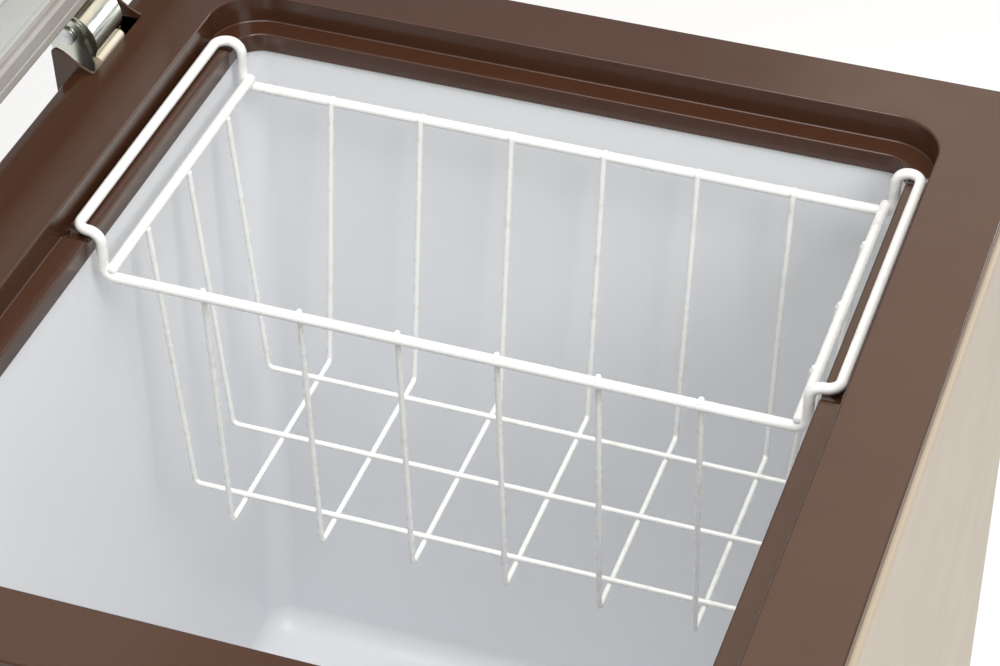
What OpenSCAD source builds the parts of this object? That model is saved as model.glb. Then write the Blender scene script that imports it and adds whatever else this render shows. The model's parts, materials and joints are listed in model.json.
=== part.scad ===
// Chest freezer with a hinged lid, a hanging wire basket and a compressor bay.
// Millimetres, +Z up, front towards -Y. The lid is drawn open at a right angle.
// The origin is on the floor, in the middle of the space that the freezer
// takes up with its lid open.

/* [Cabinet] */
// Width of the cabinet, left to right
body_w = 632; // [600:1:1200]
// Depth of the cabinet, front to back
body_d = 560; // [500:1:700]
// Height of the top frame above the floor
rim_h = 800; // [720:1:900]
// Thickness of the outer sheet panels
sheet_t = 0.8; // [0.5:0.1:1.5]
// Radius of the rolled top edge, which stands proud of the top frame
roll_r = 4; // [3:0.5:6]
// Height of the feet
foot_h = 14; // [8:1:40]
// Radius of each foot
foot_r = 17; // [12:1:25]
// Distance from the cabinet's sides to the middle of each foot
foot_inset = 42; // [30:1:60]

/* [Top frame] */
// Width of the front rail
front_rail = 47.5; // [40:0.5:60]
// Width of the rear rail
rear_rail = 54; // [45:0.5:65]
// Width of the left and right rails
end_rail = 46; // [40:0.5:60]
// Wall thickness of the moulding
frame_t = 2.5; // [2:0.1:3]
// Height of the outer lip that shows above the panels
lip_h = 8; // [6:0.5:10]
// Depth of the basket ledge below the rails
ledge_drop = 18; // [12:0.5:24]
// Width of the basket ledge
ledge_w = 15.3; // [14:0.1:18]
// Height of the inner skirt below the ledge
skirt_h = 12.5; // [8:0.5:20]
// Thickness of the inner skirt
skirt_t = 1.8; // [1.5:0.1:2.5]
// Corner radius of the opening at the rails
corner_r = 32; // [26:1:45]
// Width of the sloping strip along the rear edge
rear_slope_w = 9.5; // [5:0.5:14]
// Drop of the sloping strip along the rear edge
rear_slope_h = 2; // [0.5:0.5:2]

/* [Liner] */
// Thickness of the liner
liner_t = 1.2; // [0.8:0.1:2]
// Height of the liner's floor above the ground
floor_h = 108; // [90:1:140]
// Height of the step over the compressor bay above the ground
step_h = 275; // [250:1:320]
// Length of the step from the liner's right wall
step_w = 186; // [160:1:230]
// Corner radius inside the liner
liner_r = 18; // [12:1:24]

/* [Compressor bay] */
// Inside width of the bay
bay_w = 192; // [180:1:230]
// Inside height of the bay above the ground
bay_h = 226; // [205:1:240]
// Radius of the compressor's pot
comp_r = 62; // [50:1:68]
// Height of the compressor's pot
comp_h = 118; // [90:1:130]
// Radius of the refrigerant pipes
pipe_r = 3; // [2.5:0.1:4]

/* [Lid] */
// Height of the closed lid's top above the rails
lid_top = 48; // [40:1:60]
// Gap between the closed lid's lip and the rails, which the gasket fills
lid_gap = 6; // [5:0.5:8]
// How far the closed lid's rear edge stops short of the rear of the frame
lid_setback = 6.5; // [6:0.5:8]
// Width of the folded lip around the lid's underside
lid_fold = 6.3; // [5:0.1:10]
// Corner radius of the lid
lid_r = 8; // [4:1:16]
// Width of the gasket
gasket_w = 20; // [16:0.5:24]
// Thickness of the lid's inner panel
lid_liner_t = 1.5; // [1:0.1:2.5]
// Depth of the inner panel's raised middle below the rails when closed
plug_drop = 9; // [6:0.5:9]
// Distance from the lid's edge to the raised middle
plug_inset = 74; // [70:1:100]
// Length of the handle
handle_l = 150; // [100:1:220]

/* [Hinges] */
// Distance of the hinges from the middle of the cabinet
hinge_x = 185.6; // [150:0.1:500]
// Distance of the hinge pins behind the cabinet
hinge_back = 9; // [8:0.5:10]
// Height of the hinge pins above the rails
hinge_up = 13.5; // [13:0.5:15]
// Half the width of the pocket that holds each hinge
pocket_half = 35.5; // [33:0.5:38]
// Depth of the pocket
pocket_h = 27; // [26:0.5:30]
// Radius of the hinge pins
pin_r = 4; // [3:0.1:5]
// Travel of the spring cams between open and closed
cam_travel = 10; // [8:0.5:10]
// Length of the hinge channels below the rails
channel_h = 140; // [130:1:170]

/* [Basket] */
// Length of the basket between its end wires
basket_l = 205.8; // [180:0.1:210]
// Distance from the ledge's right edge to the basket's right end wire
basket_gap = 19.4; // [17:0.1:30]
// Depth of the basket's end wires below the rails
basket_rim = 44.6; // [42:0.1:48]
// Depth of the basket's floor below the rails
basket_floor = 234; // [200:1:240]
// How far the basket's walls lean in at the floor
basket_lean = 18; // [10:1:24]
// Diameter of the rim wire
rim_wire = 6.5; // [5:0.1:7]
// Diameter of the grid wires
grid_wire = 3.5; // [3:0.1:4]
// Spacing of the wires that run along the freezer
long_pitch = 58.5; // [50:0.5:62]
// Spacing of the wires that run across the freezer
cross_pitch = 59.4; // [50:0.1:60]

/* [Controls and drain] */
// Width of the control panel
panel_w = 150; // [130:1:160]
// Height of the control panel
panel_h = 120; // [110:1:130]
// Radius of the thermostat knob
knob_r = 17; // [14:0.5:19]
// Radius of the drain
drain_r = 8; // [6:0.5:10]

/* [Hidden] */
$fn = 32;

// clearance of loose fits, clearance of running fits and gap between faces that touch
fit = 0.3;
run = 0.05;
skin = 0.01;

// the open lid sets how deep the whole freezer is
open_depth = body_d + hinge_back + lid_top - hinge_up;
front_y = -open_depth / 2;
back_y = front_y + body_d;

// outline of the top frame, of its rails' inner edge and of the ledge's inner edge
frame_x = body_w / 2 - roll_r;
frame_y0 = front_y + roll_r;
rail_x = frame_x - end_rail;
rail_y0 = frame_y0 + front_rail;
rail_y1 = back_y - rear_rail;
mid_y = (rail_y0 + rail_y1) / 2;
rail_w = 2 * rail_x;
rail_d = rail_y1 - rail_y0;
ledge_x = rail_x - ledge_w;
hole_w = rail_w - 2 * ledge_w;
hole_d = rail_d - 2 * ledge_w;
hole_r = corner_r - ledge_w;
ledge_z = rim_h - ledge_drop;
skirt_z = ledge_z - skirt_h;

// liner, tucked behind the inner skirt
liner_w = hole_w + 2 * (skirt_t + fit);
liner_d = hole_d + 2 * (skirt_t + fit);
liner_top = ledge_z - frame_t;
step_x = liner_w / 2 - step_w;

// levels under the liner
base_t = 1.2;
base_z = foot_h + base_t;
tray_z = foot_h + 1.5;
panel_z0 = foot_h + 4;
inner_x = body_w / 2 - sheet_t;
bay_x = inner_x - bay_w;
bay_mid = (bay_x + inner_x) / 2;

// hinge axis
axis_y = back_y + hinge_back;
axis_z = rim_h + hinge_up;
arm_reach = hinge_back + lid_setback;
arm_t = 1.5;
arm_off = 5;
arm_r = arm_reach - arm_t + arm_off;
arm_half = 18.2;
body_half = arm_half + fit + arm_t;
cam_half = arm_half - arm_t - 0.5;
pocket_y = back_y - 13;

// wires of the basket
basket_x1 = ledge_x - basket_gap;
basket_x0 = basket_x1 - basket_l;
basket_mid = (basket_x0 + basket_x1) / 2;
wire_r = rim_wire / 2;
grid_r = grid_wire / 2;
run_y = rail_d / 2 - wire_r - 3;
hook_r = 7.6;
leg_y = run_y - 2 * hook_r;
bar_y = leg_y - 4.8;
run_z = ledge_z + wire_r + fit;
rim_z = rim_h - basket_rim;
bar_z = rim_z + rim_wire - 1.4;
grid_z = rim_h - basket_floor;
notch_r = 7;
boss_r = notch_r + 2.5;

// control panel
ctrl_x = bay_mid;
ctrl_z = base_z + 22 + panel_h / 2;
recess = 18;
knob_x = ctrl_x + panel_w / 2 - knob_r - 12;
knob_z = ctrl_z + panel_h / 2 - knob_r - 10;
knob_y = front_y + recess;

// drain
drain_x = -liner_w / 2 + 52;
drain_y = mid_y - liner_d / 2 + 60;
drain_z = base_z + 30;
cap_r = drain_r + 5;

// ---------- shared shapes ----------

// rectangle with round corners, centred on x = 0 and y = cy
module round_rect(w, d, r, cy = 0) {
    translate([0, cy]) {
        square([w - 2 * r, d], center = true);
        square([w, d - 2 * r], center = true);
        for (sx = [-1, 1], sy = [-1, 1])
            translate([sx * (w / 2 - r), sy * (d / 2 - r)]) circle(r);
    }
}

// wall between two rounded rectangles, from z0 to z1
module round_wall(w, d, r, t, z0, z1, cy = mid_y) {
    translate([0, 0, z0]) linear_extrude(z1 - z0) difference() {
        round_rect(w + 2 * t, d + 2 * t, r + t, cy);
        round_rect(w, d, r, cy);
    }
}

// block given by its lowest and highest corners
module block(lo, hi) {
    translate(lo) cube(hi - lo);
}

// cylinder along y
module y_rod(x, y0, y1, z, r) {
    translate([x, y1, z]) rotate([90, 0, 0]) cylinder(r = r, h = y1 - y0);
}

// cylinder along x
module x_rod(x0, x1, y, z, r) {
    translate([x0, y, z]) rotate([0, 90, 0]) cylinder(r = r, h = x1 - x0);
}

// outline in the y-z plane, extruded along x
module yz_plate(x0, x1) {
    translate([x0, 0, 0]) rotate([90, 0, 90]) linear_extrude(x1 - x0) children();
}

function unit(v) = v / norm(v);
// half of the angle through which a path turns at point i
function half_turn(p, i) =
    acos(min(1, max(-1, unit(p[i] - p[i - 1]) * unit(p[i + 1] - p[i])))) / 2;
// length that a bend of radius b takes from each side of corner i
function bend_take(p, i, b) =
    (i == 0 || i == len(p) - 1) ? 0 : b * tan(half_turn(p, i));

// round bar of radius r along a path, with bends of radius b at its corners
module bent_bar(p, r, b) {
    for (i = [0 : len(p) - 2]) {
        u = unit(p[i + 1] - p[i]);
        a = p[i] + u * bend_take(p, i, b);
        z = p[i + 1] - u * bend_take(p, i + 1, b);
        translate(a) rotate([0, acos(u[2]), atan2(u[1], u[0])])
            cylinder(r = r, h = norm(z - a));
    }
    for (i = [1 : len(p) - 2]) {
        u = unit(p[i] - p[i - 1]);
        v = unit(p[i + 1] - p[i]);
        n = unit(cross(u, v));
        x = cross(u, n);
        c = p[i] - u * bend_take(p, i, b) - x * b;
        multmatrix([
            [x[0], u[0], n[0], c[0]],
            [x[1], u[1], n[1], c[1]],
            [x[2], u[2], n[2], c[2]],
            [0, 0, 0, 1]
        ]) rotate_extrude(angle = 2 * half_turn(p, i)) translate([b, 0]) circle(r);
    }
}

// round bar of radius r along straight pieces, with a ball at each joint
module jointed_bar(p, r) {
    for (i = [0 : len(p) - 2]) {
        u = unit(p[i + 1] - p[i]);
        translate(p[i]) rotate([0, acos(u[2]), atan2(u[1], u[0])])
            cylinder(r = r, h = norm(p[i + 1] - p[i]));
    }
    for (i = [1 : len(p) - 2]) translate(p[i]) sphere(r = r * 1.01);
}

// screw with a domed head: the head's seat is at the origin, the head points to +z
module screw(r, l) {
    translate([0, 0, -l]) cylinder(r = r, h = l);
    difference() {
        intersection() {
            translate([0, 0, -2.2 * r]) sphere(r = 3.2 * r);
            cylinder(r = 2.2 * r, h = 2 * r);
        }
        for (a = [0, 90]) rotate(a)
            translate([-1.2 * r, -0.25 * r, 0.5 * r]) cube([2.4 * r, 0.5 * r, r]);
    }
}

// turns the closed lid's shapes to where the open lid stands
module open_lid() {
    translate([0, axis_y, axis_z]) rotate([-90, 0, 0])
        translate([0, -axis_y, -axis_z]) children();
}

// ---------- cabinet ----------

// rolled top edge of a panel that runs along x, with its face at y = 0
module rolled_edge(l) {
    translate([-l / 2, 0, 0]) yz_plate(0, l) {
        intersection() {
            translate([roll_r, -roll_r]) difference() {
                circle(roll_r);
                circle(roll_r - sheet_t);
            }
            translate([0, -roll_r]) square(roll_r);
        }
        translate([roll_r, -sheet_t]) square([7, sheet_t]);
    }
}

panel_top = rim_h - lip_h;

module front_panel() color("tan") difference() {
    union() {
        block([-body_w / 2, front_y, panel_z0],
              [body_w / 2, front_y + sheet_t, panel_top - roll_r]);
        translate([0, front_y, panel_top]) rolled_edge(body_w);
    }
    block([ctrl_x - panel_w / 2, front_y - 1, ctrl_z - panel_h / 2],
          [ctrl_x + panel_w / 2, front_y + 5, ctrl_z + panel_h / 2]);
    y_rod(drain_x, front_y - 1, front_y + 5, drain_z, cap_r + fit);
}

module side_sheet() {
    y0 = front_y + sheet_t;
    y1 = back_y - sheet_t;
    block([-body_w / 2, y0, panel_z0],
          [-body_w / 2 + sheet_t, y1, panel_top - roll_r]);
    edge_l = y1 - y0 - 12;
    translate([-body_w / 2, y0 + 12 + edge_l / 2, panel_top])
        rotate(-90) rolled_edge(edge_l);
}

module left_panel() color("tan") side_sheet();

module right_panel() color("tan") difference() {
    mirror([1, 0, 0]) side_sheet();
    for (i = [0 : 9])
        block([body_w / 2 - 3, back_y - 200, bay_h - 30 - 12 * i],
              [body_w / 2 + 1, back_y - 60, bay_h - 26 - 12 * i]);
}

module back_panel() color("silver") difference() {
    block([-body_w / 2, back_y - sheet_t, panel_z0],
          [body_w / 2, back_y, panel_top - skin]);
    for (s = [-1, 1])
        block([s * hinge_x - pocket_half, back_y - 2, rim_h - pocket_h - 1],
              [s * hinge_x + pocket_half, back_y + 1, rim_h]);
    block([bay_x, back_y - 2, base_z + 8], [inner_x - 12, back_y + 1, bay_h - 8]);
}

module base_plate() color("silver")
    block([-inner_x, front_y + sheet_t, foot_h],
          [bay_x - fit, back_y - sheet_t, base_z]);

module feet() color("dimgray")
    for (sx = [-1, 1], y = [front_y + foot_inset, back_y - foot_inset])
        translate([sx * (body_w / 2 - foot_inset), y, 0]) difference() {
            rotate_extrude() polygon([
                [0, 0], [foot_r - 2, 0], [foot_r, 2], [foot_r - 3, foot_h], [0, foot_h]
            ]);
            translate([0, 0, -1]) cylinder(r = 4, h = 4);
        }

// one half-round support under each notch of the ledge
module notch_boss(x, s) {
    y0 = mid_y + s * (hole_d / 2 + skirt_t / 2);
    y1 = mid_y + s * (rail_d / 2 - 1);
    intersection() {
        y_rod(x, min(y0, y1), max(y0, y1), run_z, boss_r);
        block([x - boss_r, front_y, ledge_z - boss_r], [x + boss_r, back_y, ledge_z - 1]);
    }
}

module hinge_pocket_walls(s) {
    w = 2;
    x0 = s * hinge_x - pocket_half;
    x1 = s * hinge_x + pocket_half;
    difference() {
        block([x0, pocket_y - w, rim_h - pocket_h], [x1, back_y, rim_h - rear_slope_h]);
        block([x0 + w, pocket_y, rim_h - pocket_h + w], [x1 - w, back_y + 1, rim_h + 1]);
    }
    for (x = [x0, x1 - w]) yz_plate(x, x + w) polygon([
        [back_y - 1, rim_h - pocket_h],
        [back_y + 10, rim_h - pocket_h + 6],
        [back_y + 12, rim_h + 12],
        [back_y + 9, rim_h + 14],
        [back_y + 4, rim_h + 12],
        [back_y - 4.5, rim_h - 1],
        [back_y - 4.5, rim_h - 6]
    ]);
}

module top_frame() color([0.31, 0.21, 0.17]) {
    frame_w = 2 * frame_x;
    frame_d = back_y - frame_y0;
    frame_cy = (frame_y0 + back_y) / 2;
    difference() {
        union() {
            translate([0, 0, rim_h - frame_t]) linear_extrude(frame_t) difference() {
                round_rect(frame_w, frame_d, 3, frame_cy);
                round_rect(rail_w, rail_d, corner_r, mid_y);
            }
            round_wall(frame_w - 2 * frame_t, frame_d - 2 * frame_t, 1, frame_t,
                       panel_top, rim_h - frame_t, frame_cy);
            round_wall(rail_w, rail_d, corner_r, frame_t, ledge_z - frame_t, rim_h - 1);
            round_wall(hole_w, hole_d, hole_r, ledge_w + 1, ledge_z - frame_t, ledge_z);
            round_wall(hole_w, hole_d, hole_r, skirt_t, skirt_z, ledge_z - 1);
            for (x = [basket_x0, basket_x1], s = [-1, 1]) notch_boss(x, s);
        }
        for (x = [basket_x0, basket_x1], s = [-1, 1])
            y_rod(x, s > 0 ? mid_y : mid_y - rail_d / 2 - skin,
                  s > 0 ? mid_y + rail_d / 2 + skin : mid_y, run_z, notch_r);
        yz_plate(-body_w, body_w) polygon([
            [back_y - rear_slope_w, rim_h],
            [back_y + 1, rim_h - rear_slope_h],
            [back_y + 1, rim_h + 1],
            [back_y - rear_slope_w, rim_h + 1]
        ]);
        for (s = [-1, 1])
            block([s * hinge_x - pocket_half, pocket_y - 2, rim_h - pocket_h - 1],
                  [s * hinge_x + pocket_half, back_y + 1, rim_h + 1]);
    }
    for (s = [-1, 1]) hinge_pocket_walls(s);
}

// space inside the liner, grown by g on all sides
module liner_space(g, top) {
    difference() {
        translate([0, 0, floor_h - g]) linear_extrude(top - floor_h + g)
            round_rect(liner_w + 2 * g, liner_d + 2 * g, liner_r + g, mid_y);
        block([step_x + g, mid_y - liner_d, floor_h - g - 1],
              [liner_w, mid_y + liner_d, step_h - g]);
    }
}

module liner() color("white") difference() {
    liner_space(liner_t, liner_top);
    liner_space(0, liner_top + 1);
    translate([drain_x, drain_y, floor_h - 5]) cylinder(r = drain_r + fit, h = 10);
    for (x = [basket_x0, basket_x1])
        y_rod(x, mid_y - rail_d / 2, mid_y + rail_d / 2, run_z, boss_r + fit);
}

module cabinet_foam() color("khaki") difference() {
    union() {
        block([-inner_x, front_y + sheet_t, base_z],
              [inner_x, back_y - sheet_t, panel_top - roll_r - 1]);
        block([-frame_x + 8, frame_y0 + 8, panel_top - roll_r - 2],
              [frame_x - 8, back_y - 8, rim_h - frame_t - skin]);
    }
    liner_space(liner_t + skin, rim_h + 5);
    translate([0, 0, ledge_z - frame_t - 10])
        linear_extrude(60) round_rect(rail_w + 2 * frame_t + 1, rail_d + 2 * frame_t + 1,
                                      corner_r + frame_t, mid_y);
    block([bay_x, front_y, foot_h], [inner_x + 1, back_y + 1, bay_h]);
    for (s = [-1, 1])
        block([s * hinge_x - pocket_half - 1, pocket_y - 3, rim_h - pocket_h - 1],
              [s * hinge_x + pocket_half + 1, back_y + 1, rim_h + 1]);
    block([-inner_x - 1, front_y, rim_h - rear_slope_h - frame_t - 2],
          [inner_x + 1, frame_y0 + 8, rim_h]);
    drain_path(drain_r + 1.6);
    y_rod(drain_x, front_y - 1, front_y + 24, drain_z, cap_r + 1);
}

// points of a square coil that climbs round a box
function coil_points(w, d, cy, z0, pitch, turns) = [
    for (i = [0 : 4 * turns])
        let (c = i % 4)
            [(c == 0 || c == 3 ? -1 : 1) * w / 2,
             cy + (c < 2 ? -1 : 1) * d / 2,
             z0 + pitch * i / 4]
];

module evaporator_coil() color("silver") {
    w = liner_w + 2 * liner_t + 9;
    d = liner_d + 2 * liner_t + 9;
    jointed_bar(coil_points(w, d, mid_y, step_h + 20, 70, 6), 4);
}

module condenser_coil() color("sienna") {
    w = 2 * inner_x - 7;
    d = body_d - 2 * sheet_t - 7;
    jointed_bar(coil_points(w, d, (front_y + back_y) / 2, bay_h + 60, 90, 5), 2.5);
}

// ---------- compressor bay ----------

module compressor_tray() color("silver") {
    block([bay_x, front_y + sheet_t + 20, foot_h],
          [inner_x, back_y - sheet_t, tray_z]);
    block([bay_x, front_y + sheet_t + 20, tray_z - skin],
          [bay_x + 1.5, back_y - sheet_t, foot_h + 20]);
}

comp_y = back_y - 112;
mount_h = 20;
comp_z = tray_z + mount_h;
mount_r = 7;

module compressor() color("black") {
    translate([bay_mid, comp_y, comp_z]) {
        translate([0, 0, 4]) rotate_extrude() polygon(concat(
            [[0, 0], [comp_r - 10, 0]],
            [for (a = [-80 : 10 : 0]) [comp_r - 10 + 10 * cos(a), 10 + 10 * sin(a)]],
            [for (a = [0 : 10 : 90])
                [comp_r - 30 + 30 * cos(a), comp_h - 30 + 26 * sin(a)]],
            [[0, comp_h - 4]]
        ));
        difference() {
            translate([-comp_r - 6, -comp_r - 6, 0])
                cube([2 * comp_r + 12, 2 * comp_r + 12, 4 + skin]);
            for (sx = [-1, 1], sy = [-1, 1])
                translate([sx * (comp_r - 4), sy * (comp_r - 4), -1])
                    cylinder(r = mount_r + run, h = 7);
        }
    }
}

module compressor_mounts() color("dimgray")
    for (sx = [-1, 1], sy = [-1, 1])
        translate([bay_mid + sx * (comp_r - 4), comp_y + sy * (comp_r - 4), tray_z]) {
            cylinder(r = mount_r + 4, h = mount_h);
            translate([0, 0, mount_h - 1]) cylinder(r = mount_r, h = 8);
            translate([0, 0, mount_h + 4 + skin]) cylinder(r = mount_r + 3, h = 4);
        }

module start_relay() color("dimgray") difference() {
    block([bay_mid - 22, comp_y - comp_r - 34, comp_z + 34],
          [bay_mid + 22, comp_y - comp_r + 6, comp_z + 84]);
    translate([bay_mid, comp_y, comp_z]) cylinder(r = comp_r + run, h = comp_h);
}

drier_y = front_y + 190;
drier_r = 9;
module filter_drier() color("peru")
    translate([bay_x + 26, drier_y, tray_z + drier_r + skin]) rotate([90, 0, 0])
        rotate_extrude() polygon([
            [0, -62], [pipe_r, -62], [pipe_r, -48], [drier_r, -40],
            [drier_r, 40], [2.2, 48], [2.2, 60], [0, 60]
        ]);

module discharge_pipe() color("peru")
    bent_bar([
        [bay_mid - 30, comp_y + 20, comp_z + comp_h - 8],
        [bay_mid - 30, comp_y + 20, comp_z + comp_h + 24],
        [bay_x + 16, comp_y + 20, comp_z + comp_h + 24],
        [bay_x + 16, comp_y - 90, comp_z + comp_h + 24],
        [bay_x + 16, comp_y - 90, bay_h - skin]
    ], pipe_r, 14);

module suction_pipe() color("peru")
    bent_bar([
        [bay_mid + 30, comp_y - 20, comp_z + comp_h - 8],
        [bay_mid + 30, comp_y - 20, comp_z + comp_h + 30],
        [bay_mid + 30, comp_y - 130, comp_z + comp_h + 30],
        [bay_mid + 30, comp_y - 130, bay_h - skin]
    ], pipe_r, 14);

module bay_cover() color("silver") difference() {
    block([bay_x - 14, back_y, base_z + 2], [inner_x - 2, back_y + 1.2, bay_h + 6]);
    for (i = [0 : 11])
        block([bay_x + 14, back_y - 1, base_z + 36 + 13 * i],
              [bay_x + bay_w - 60, back_y + 3, base_z + 41 + 13 * i]);
    for (x = [bay_x - 7, inner_x - 8], z = [base_z + 12, bay_h - 2])
        y_rod(x, back_y - 1, back_y + 3, z, 2 + run);
    y_rod(gland_x, back_y - 1, back_y + 3, gland_z, 7 + run);
}

module bay_cover_screws() color("silver")
    for (x = [bay_x - 7, inner_x - 8], z = [base_z + 12, bay_h - 2])
        translate([x, back_y + 1.2, z]) rotate([-90, 0, 0]) screw(2, 1.9);

gland_x = bay_x + bay_w - 34;
gland_z = base_z + 50;
module cord_gland() color("dimgray") difference() {
    union() {
        y_rod(gland_x, back_y - 9, back_y + 1.2, gland_z, 7);
        y_rod(gland_x, back_y + 1.2, back_y + 6, gland_z, 10);
    }
    y_rod(gland_x, back_y - 10, back_y + 7, gland_z, 3.6);
}

// ---------- controls ----------

module control_panel() color([0.31, 0.21, 0.17]) difference() {
    x0 = ctrl_x - panel_w / 2 + fit;
    x1 = ctrl_x + panel_w / 2 - fit;
    z0 = ctrl_z - panel_h / 2 + fit;
    z1 = ctrl_z + panel_h / 2 - fit;
    block([x0, front_y, z0], [x1, front_y + recess + 2, z1]);
    block([x0 + 2.5, front_y - 1, knob_z - knob_r - 8],
          [x1 - 2.5, front_y + recess, z1 - 2.5]);
    for (i = [0 : 5])
        block([x0 + 10, front_y - 1, z0 + 7 + 9 * i],
              [x1 - 10, front_y + recess + 3, z0 + 11.5 + 9 * i]);
    block([x0 + 3, front_y + 3, z0 + 3],
          [x1 - 3, front_y + recess + 3, knob_z - knob_r - 11]);
    y_rod(knob_x, front_y, front_y + recess + 3, knob_z, 5);
    for (i = [0 : 1])
        y_rod(ctrl_x - 50 + 22 * i, front_y, front_y + recess + 3, knob_z, 3.5 + run);
}

module thermostat() color("gray") {
    block([knob_x - 20, knob_y + 2 + skin, knob_z - 18], [knob_x + 20, knob_y + 36, knob_z + 18]);
    y_rod(knob_x, knob_y - 9, knob_y + 3, knob_z, 3);
}

module thermostat_knob() color("white") difference() {
    union() {
        y_rod(knob_x, knob_y - 6, knob_y - 0.5, knob_z, knob_r);
        translate([knob_x - 3.5, knob_y - 15, knob_z - knob_r + 1.5])
            cube([7, 10, 2 * knob_r - 3]);
    }
    y_rod(knob_x, knob_y - 9.5, knob_y, knob_z, 3 + run);
}

module indicator_lights() color("lime")
    for (i = [0 : 1])
        translate([ctrl_x - 50 + 22 * i, knob_y, knob_z]) rotate([90, 0, 0])
            rotate_extrude() polygon([
                [0, -8], [3.5, -8], [3.5, 0], [4.5, 0], [4.2, 1.2], [2, 2], [0, 2.2]
            ]);

// ---------- drain ----------

module drain_path(r) {
    translate([drain_x, drain_y, drain_z]) cylinder(r = r, h = floor_h - liner_t - drain_z - skin);
    y_rod(drain_x, front_y + 22, drain_y, drain_z, r);
    translate([drain_x, drain_y, drain_z]) sphere(r = r);
}

module drain_tube() color("lightgray") difference() {
    drain_path(drain_r + 1.5);
    translate([drain_x, drain_y, drain_z]) cylinder(r = drain_r, h = floor_h);
    y_rod(drain_x, front_y, drain_y, drain_z, drain_r);
    translate([drain_x, drain_y, drain_z]) sphere(r = drain_r);
}

module drain_plug() color("gray") translate([drain_x, drain_y, floor_h]) {
    translate([0, 0, -11]) cylinder(r = drain_r - fit, h = 11 + 1);
    translate([0, 0, 0.2]) cylinder(r = drain_r + 5, h = 2.5);
    difference() {
        translate([-2, -7, 2]) cube([4, 14, 12]);
        translate([-3, 0, 8]) rotate([0, 90, 0]) cylinder(r = 3, h = 6);
    }
}

module drain_cap() color("tan") {
    y_rod(drain_x, front_y, front_y + 3, drain_z, cap_r);
    y_rod(drain_x, front_y + 2, front_y + 30, drain_z, drain_r - fit);
}

// ---------- hinges ----------

// outline of a hinge arm's cheek, with the hinge axis at [0, 0]
module arm_cheek_outline() {
    difference() {
        union() {
            intersection() {
                translate([0, -arm_off]) circle(arm_r);
                translate([-arm_r, -arm_off - 8]) square([arm_r + 4, arm_r + 8]);
            }
            circle(8);
        }
        circle(pin_r + run);
    }
}

// curved web that joins the two cheeks of a hinge arm
module arm_web_outline() {
    intersection() {
        translate([0, -arm_off]) difference() {
            circle(arm_r);
            circle(arm_r - arm_t);
        }
        translate([-arm_r, -arm_off - 6.5]) square([arm_r + 4, arm_r + 7]);
    }
}

module hinge_arm(x) {
    translate([0, axis_y, axis_z]) {
        for (s = [x - arm_half, x + arm_half - arm_t])
            yz_plate(s, s + arm_t) arm_cheek_outline();
        yz_plate(x - arm_half, x + arm_half) arm_web_outline();
        difference() {
            translate([x - 28, -4, arm_reach - arm_t - skin]) cube([56, 34, arm_t + skin - 0.02]);
            for (s = [-1, 1])
                translate([x + 20 * s, 22, 0]) cylinder(r = 2.2, h = 40);
        }
    }
}

module hinge_arms() color("silver")
    for (s = [-1, 1]) hinge_arm(s * hinge_x);

module hinge_arm_screws() color("silver")
    for (h = [-1, 1], s = [-1, 1])
        translate([h * hinge_x + 20 * s, axis_y + 22, axis_z + arm_reach - arm_t - 0.02])
            rotate([180, 0, 0]) screw(2, arm_t);

module hinge_body(x) {
    z0 = rim_h - channel_h;
    difference() {
        union() {
            for (s = [x - body_half, x + body_half - arm_t]) yz_plate(s, s + arm_t) {
                translate([back_y + skin, z0]) square([17, channel_h - 4]);
                translate([axis_y, axis_z]) {
                    circle(12);
                    polygon([[-12, -2], [-17, -16], [-17, -22], [8, -22], [12, 0]]);
                }
            }
            block([x - body_half, back_y + 15.5, z0], [x + body_half, back_y + 17, rim_h - 12]);
            block([x - body_half, back_y + skin, z0], [x + body_half, back_y + 17, z0 + 1.5]);
            for (s = [-1, 1])
                block([x + s * 25 - 7, back_y + skin, z0], [x + s * 25 + 7, back_y + 1.5, z0 + 105]);
        }
        x_rod(x - 30, x + 30, axis_y, axis_z, pin_r + run);
        for (s = [-1, 1], z = [z0 + 14, z0 + 91])
            y_rod(x + 26 * s, back_y - 1, back_y + 3, z, 2.1);
    }
}

module hinge_bodies() color("silver")
    for (s = [-1, 1]) hinge_body(s * hinge_x);

module hinge_screws() color("silver")
    for (h = [-1, 1], s = [-1, 1], z = [14, 91])
        translate([h * hinge_x + 26 * s, back_y + 1.5 + skin, rim_h - channel_h + z])
            rotate([-90, 0, 0]) screw(2, 1.4);

module hinge_pins() color("silver")
    for (s = [-1, 1]) {
        x = s * hinge_x;
        x_rod(x - body_half - 2, x + body_half + 2, axis_y, axis_z, pin_r);
        for (x0 = [x - body_half - 2.2, x + body_half + 0.2])
            x_rod(x0, x0 + 2, axis_y, axis_z, 6);
    }

spring_y = back_y + 8;
cam_z = axis_z - 26;
spring_z0 = rim_h - channel_h + 1.6;

module hinge_cams() color("beige")
    for (s = [-1, 1]) {
        x0 = s * hinge_x - cam_half;
        x1 = s * hinge_x + cam_half;
        x_rod(x0, x1, axis_y - 17, axis_z - 17.5, 3.5);
        block([x0, axis_y - 20.5, cam_z], [x1, axis_y - 13.5, cam_z + 8.5]);
        block([x0, axis_y - 20.5, cam_z], [x1, axis_y + 6, cam_z + 4]);
        translate([s * hinge_x, spring_y, cam_z - 34]) cylinder(r = 3, h = 35);
    }

module hinge_springs() color("gray")
    for (s = [-1, 1]) translate([s * hinge_x, spring_y, spring_z0]) difference() {
        cylinder(r = 7, h = cam_z - spring_z0 - 0.1);
        translate([0, 0, -1]) cylinder(r = 5, h = channel_h);
    }

// ---------- lid, drawn closed and turned open ----------

lid_y0 = front_y;
lid_y1 = back_y - lid_setback;
lid_d = lid_y1 - lid_y0;
lid_cy = (lid_y0 + lid_y1) / 2;
lid_z0 = rim_h + lid_gap;
lid_z1 = rim_h + lid_top;
// the gasket lies just inside the folded lip
seal_in = lid_fold + 0.4;

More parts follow.
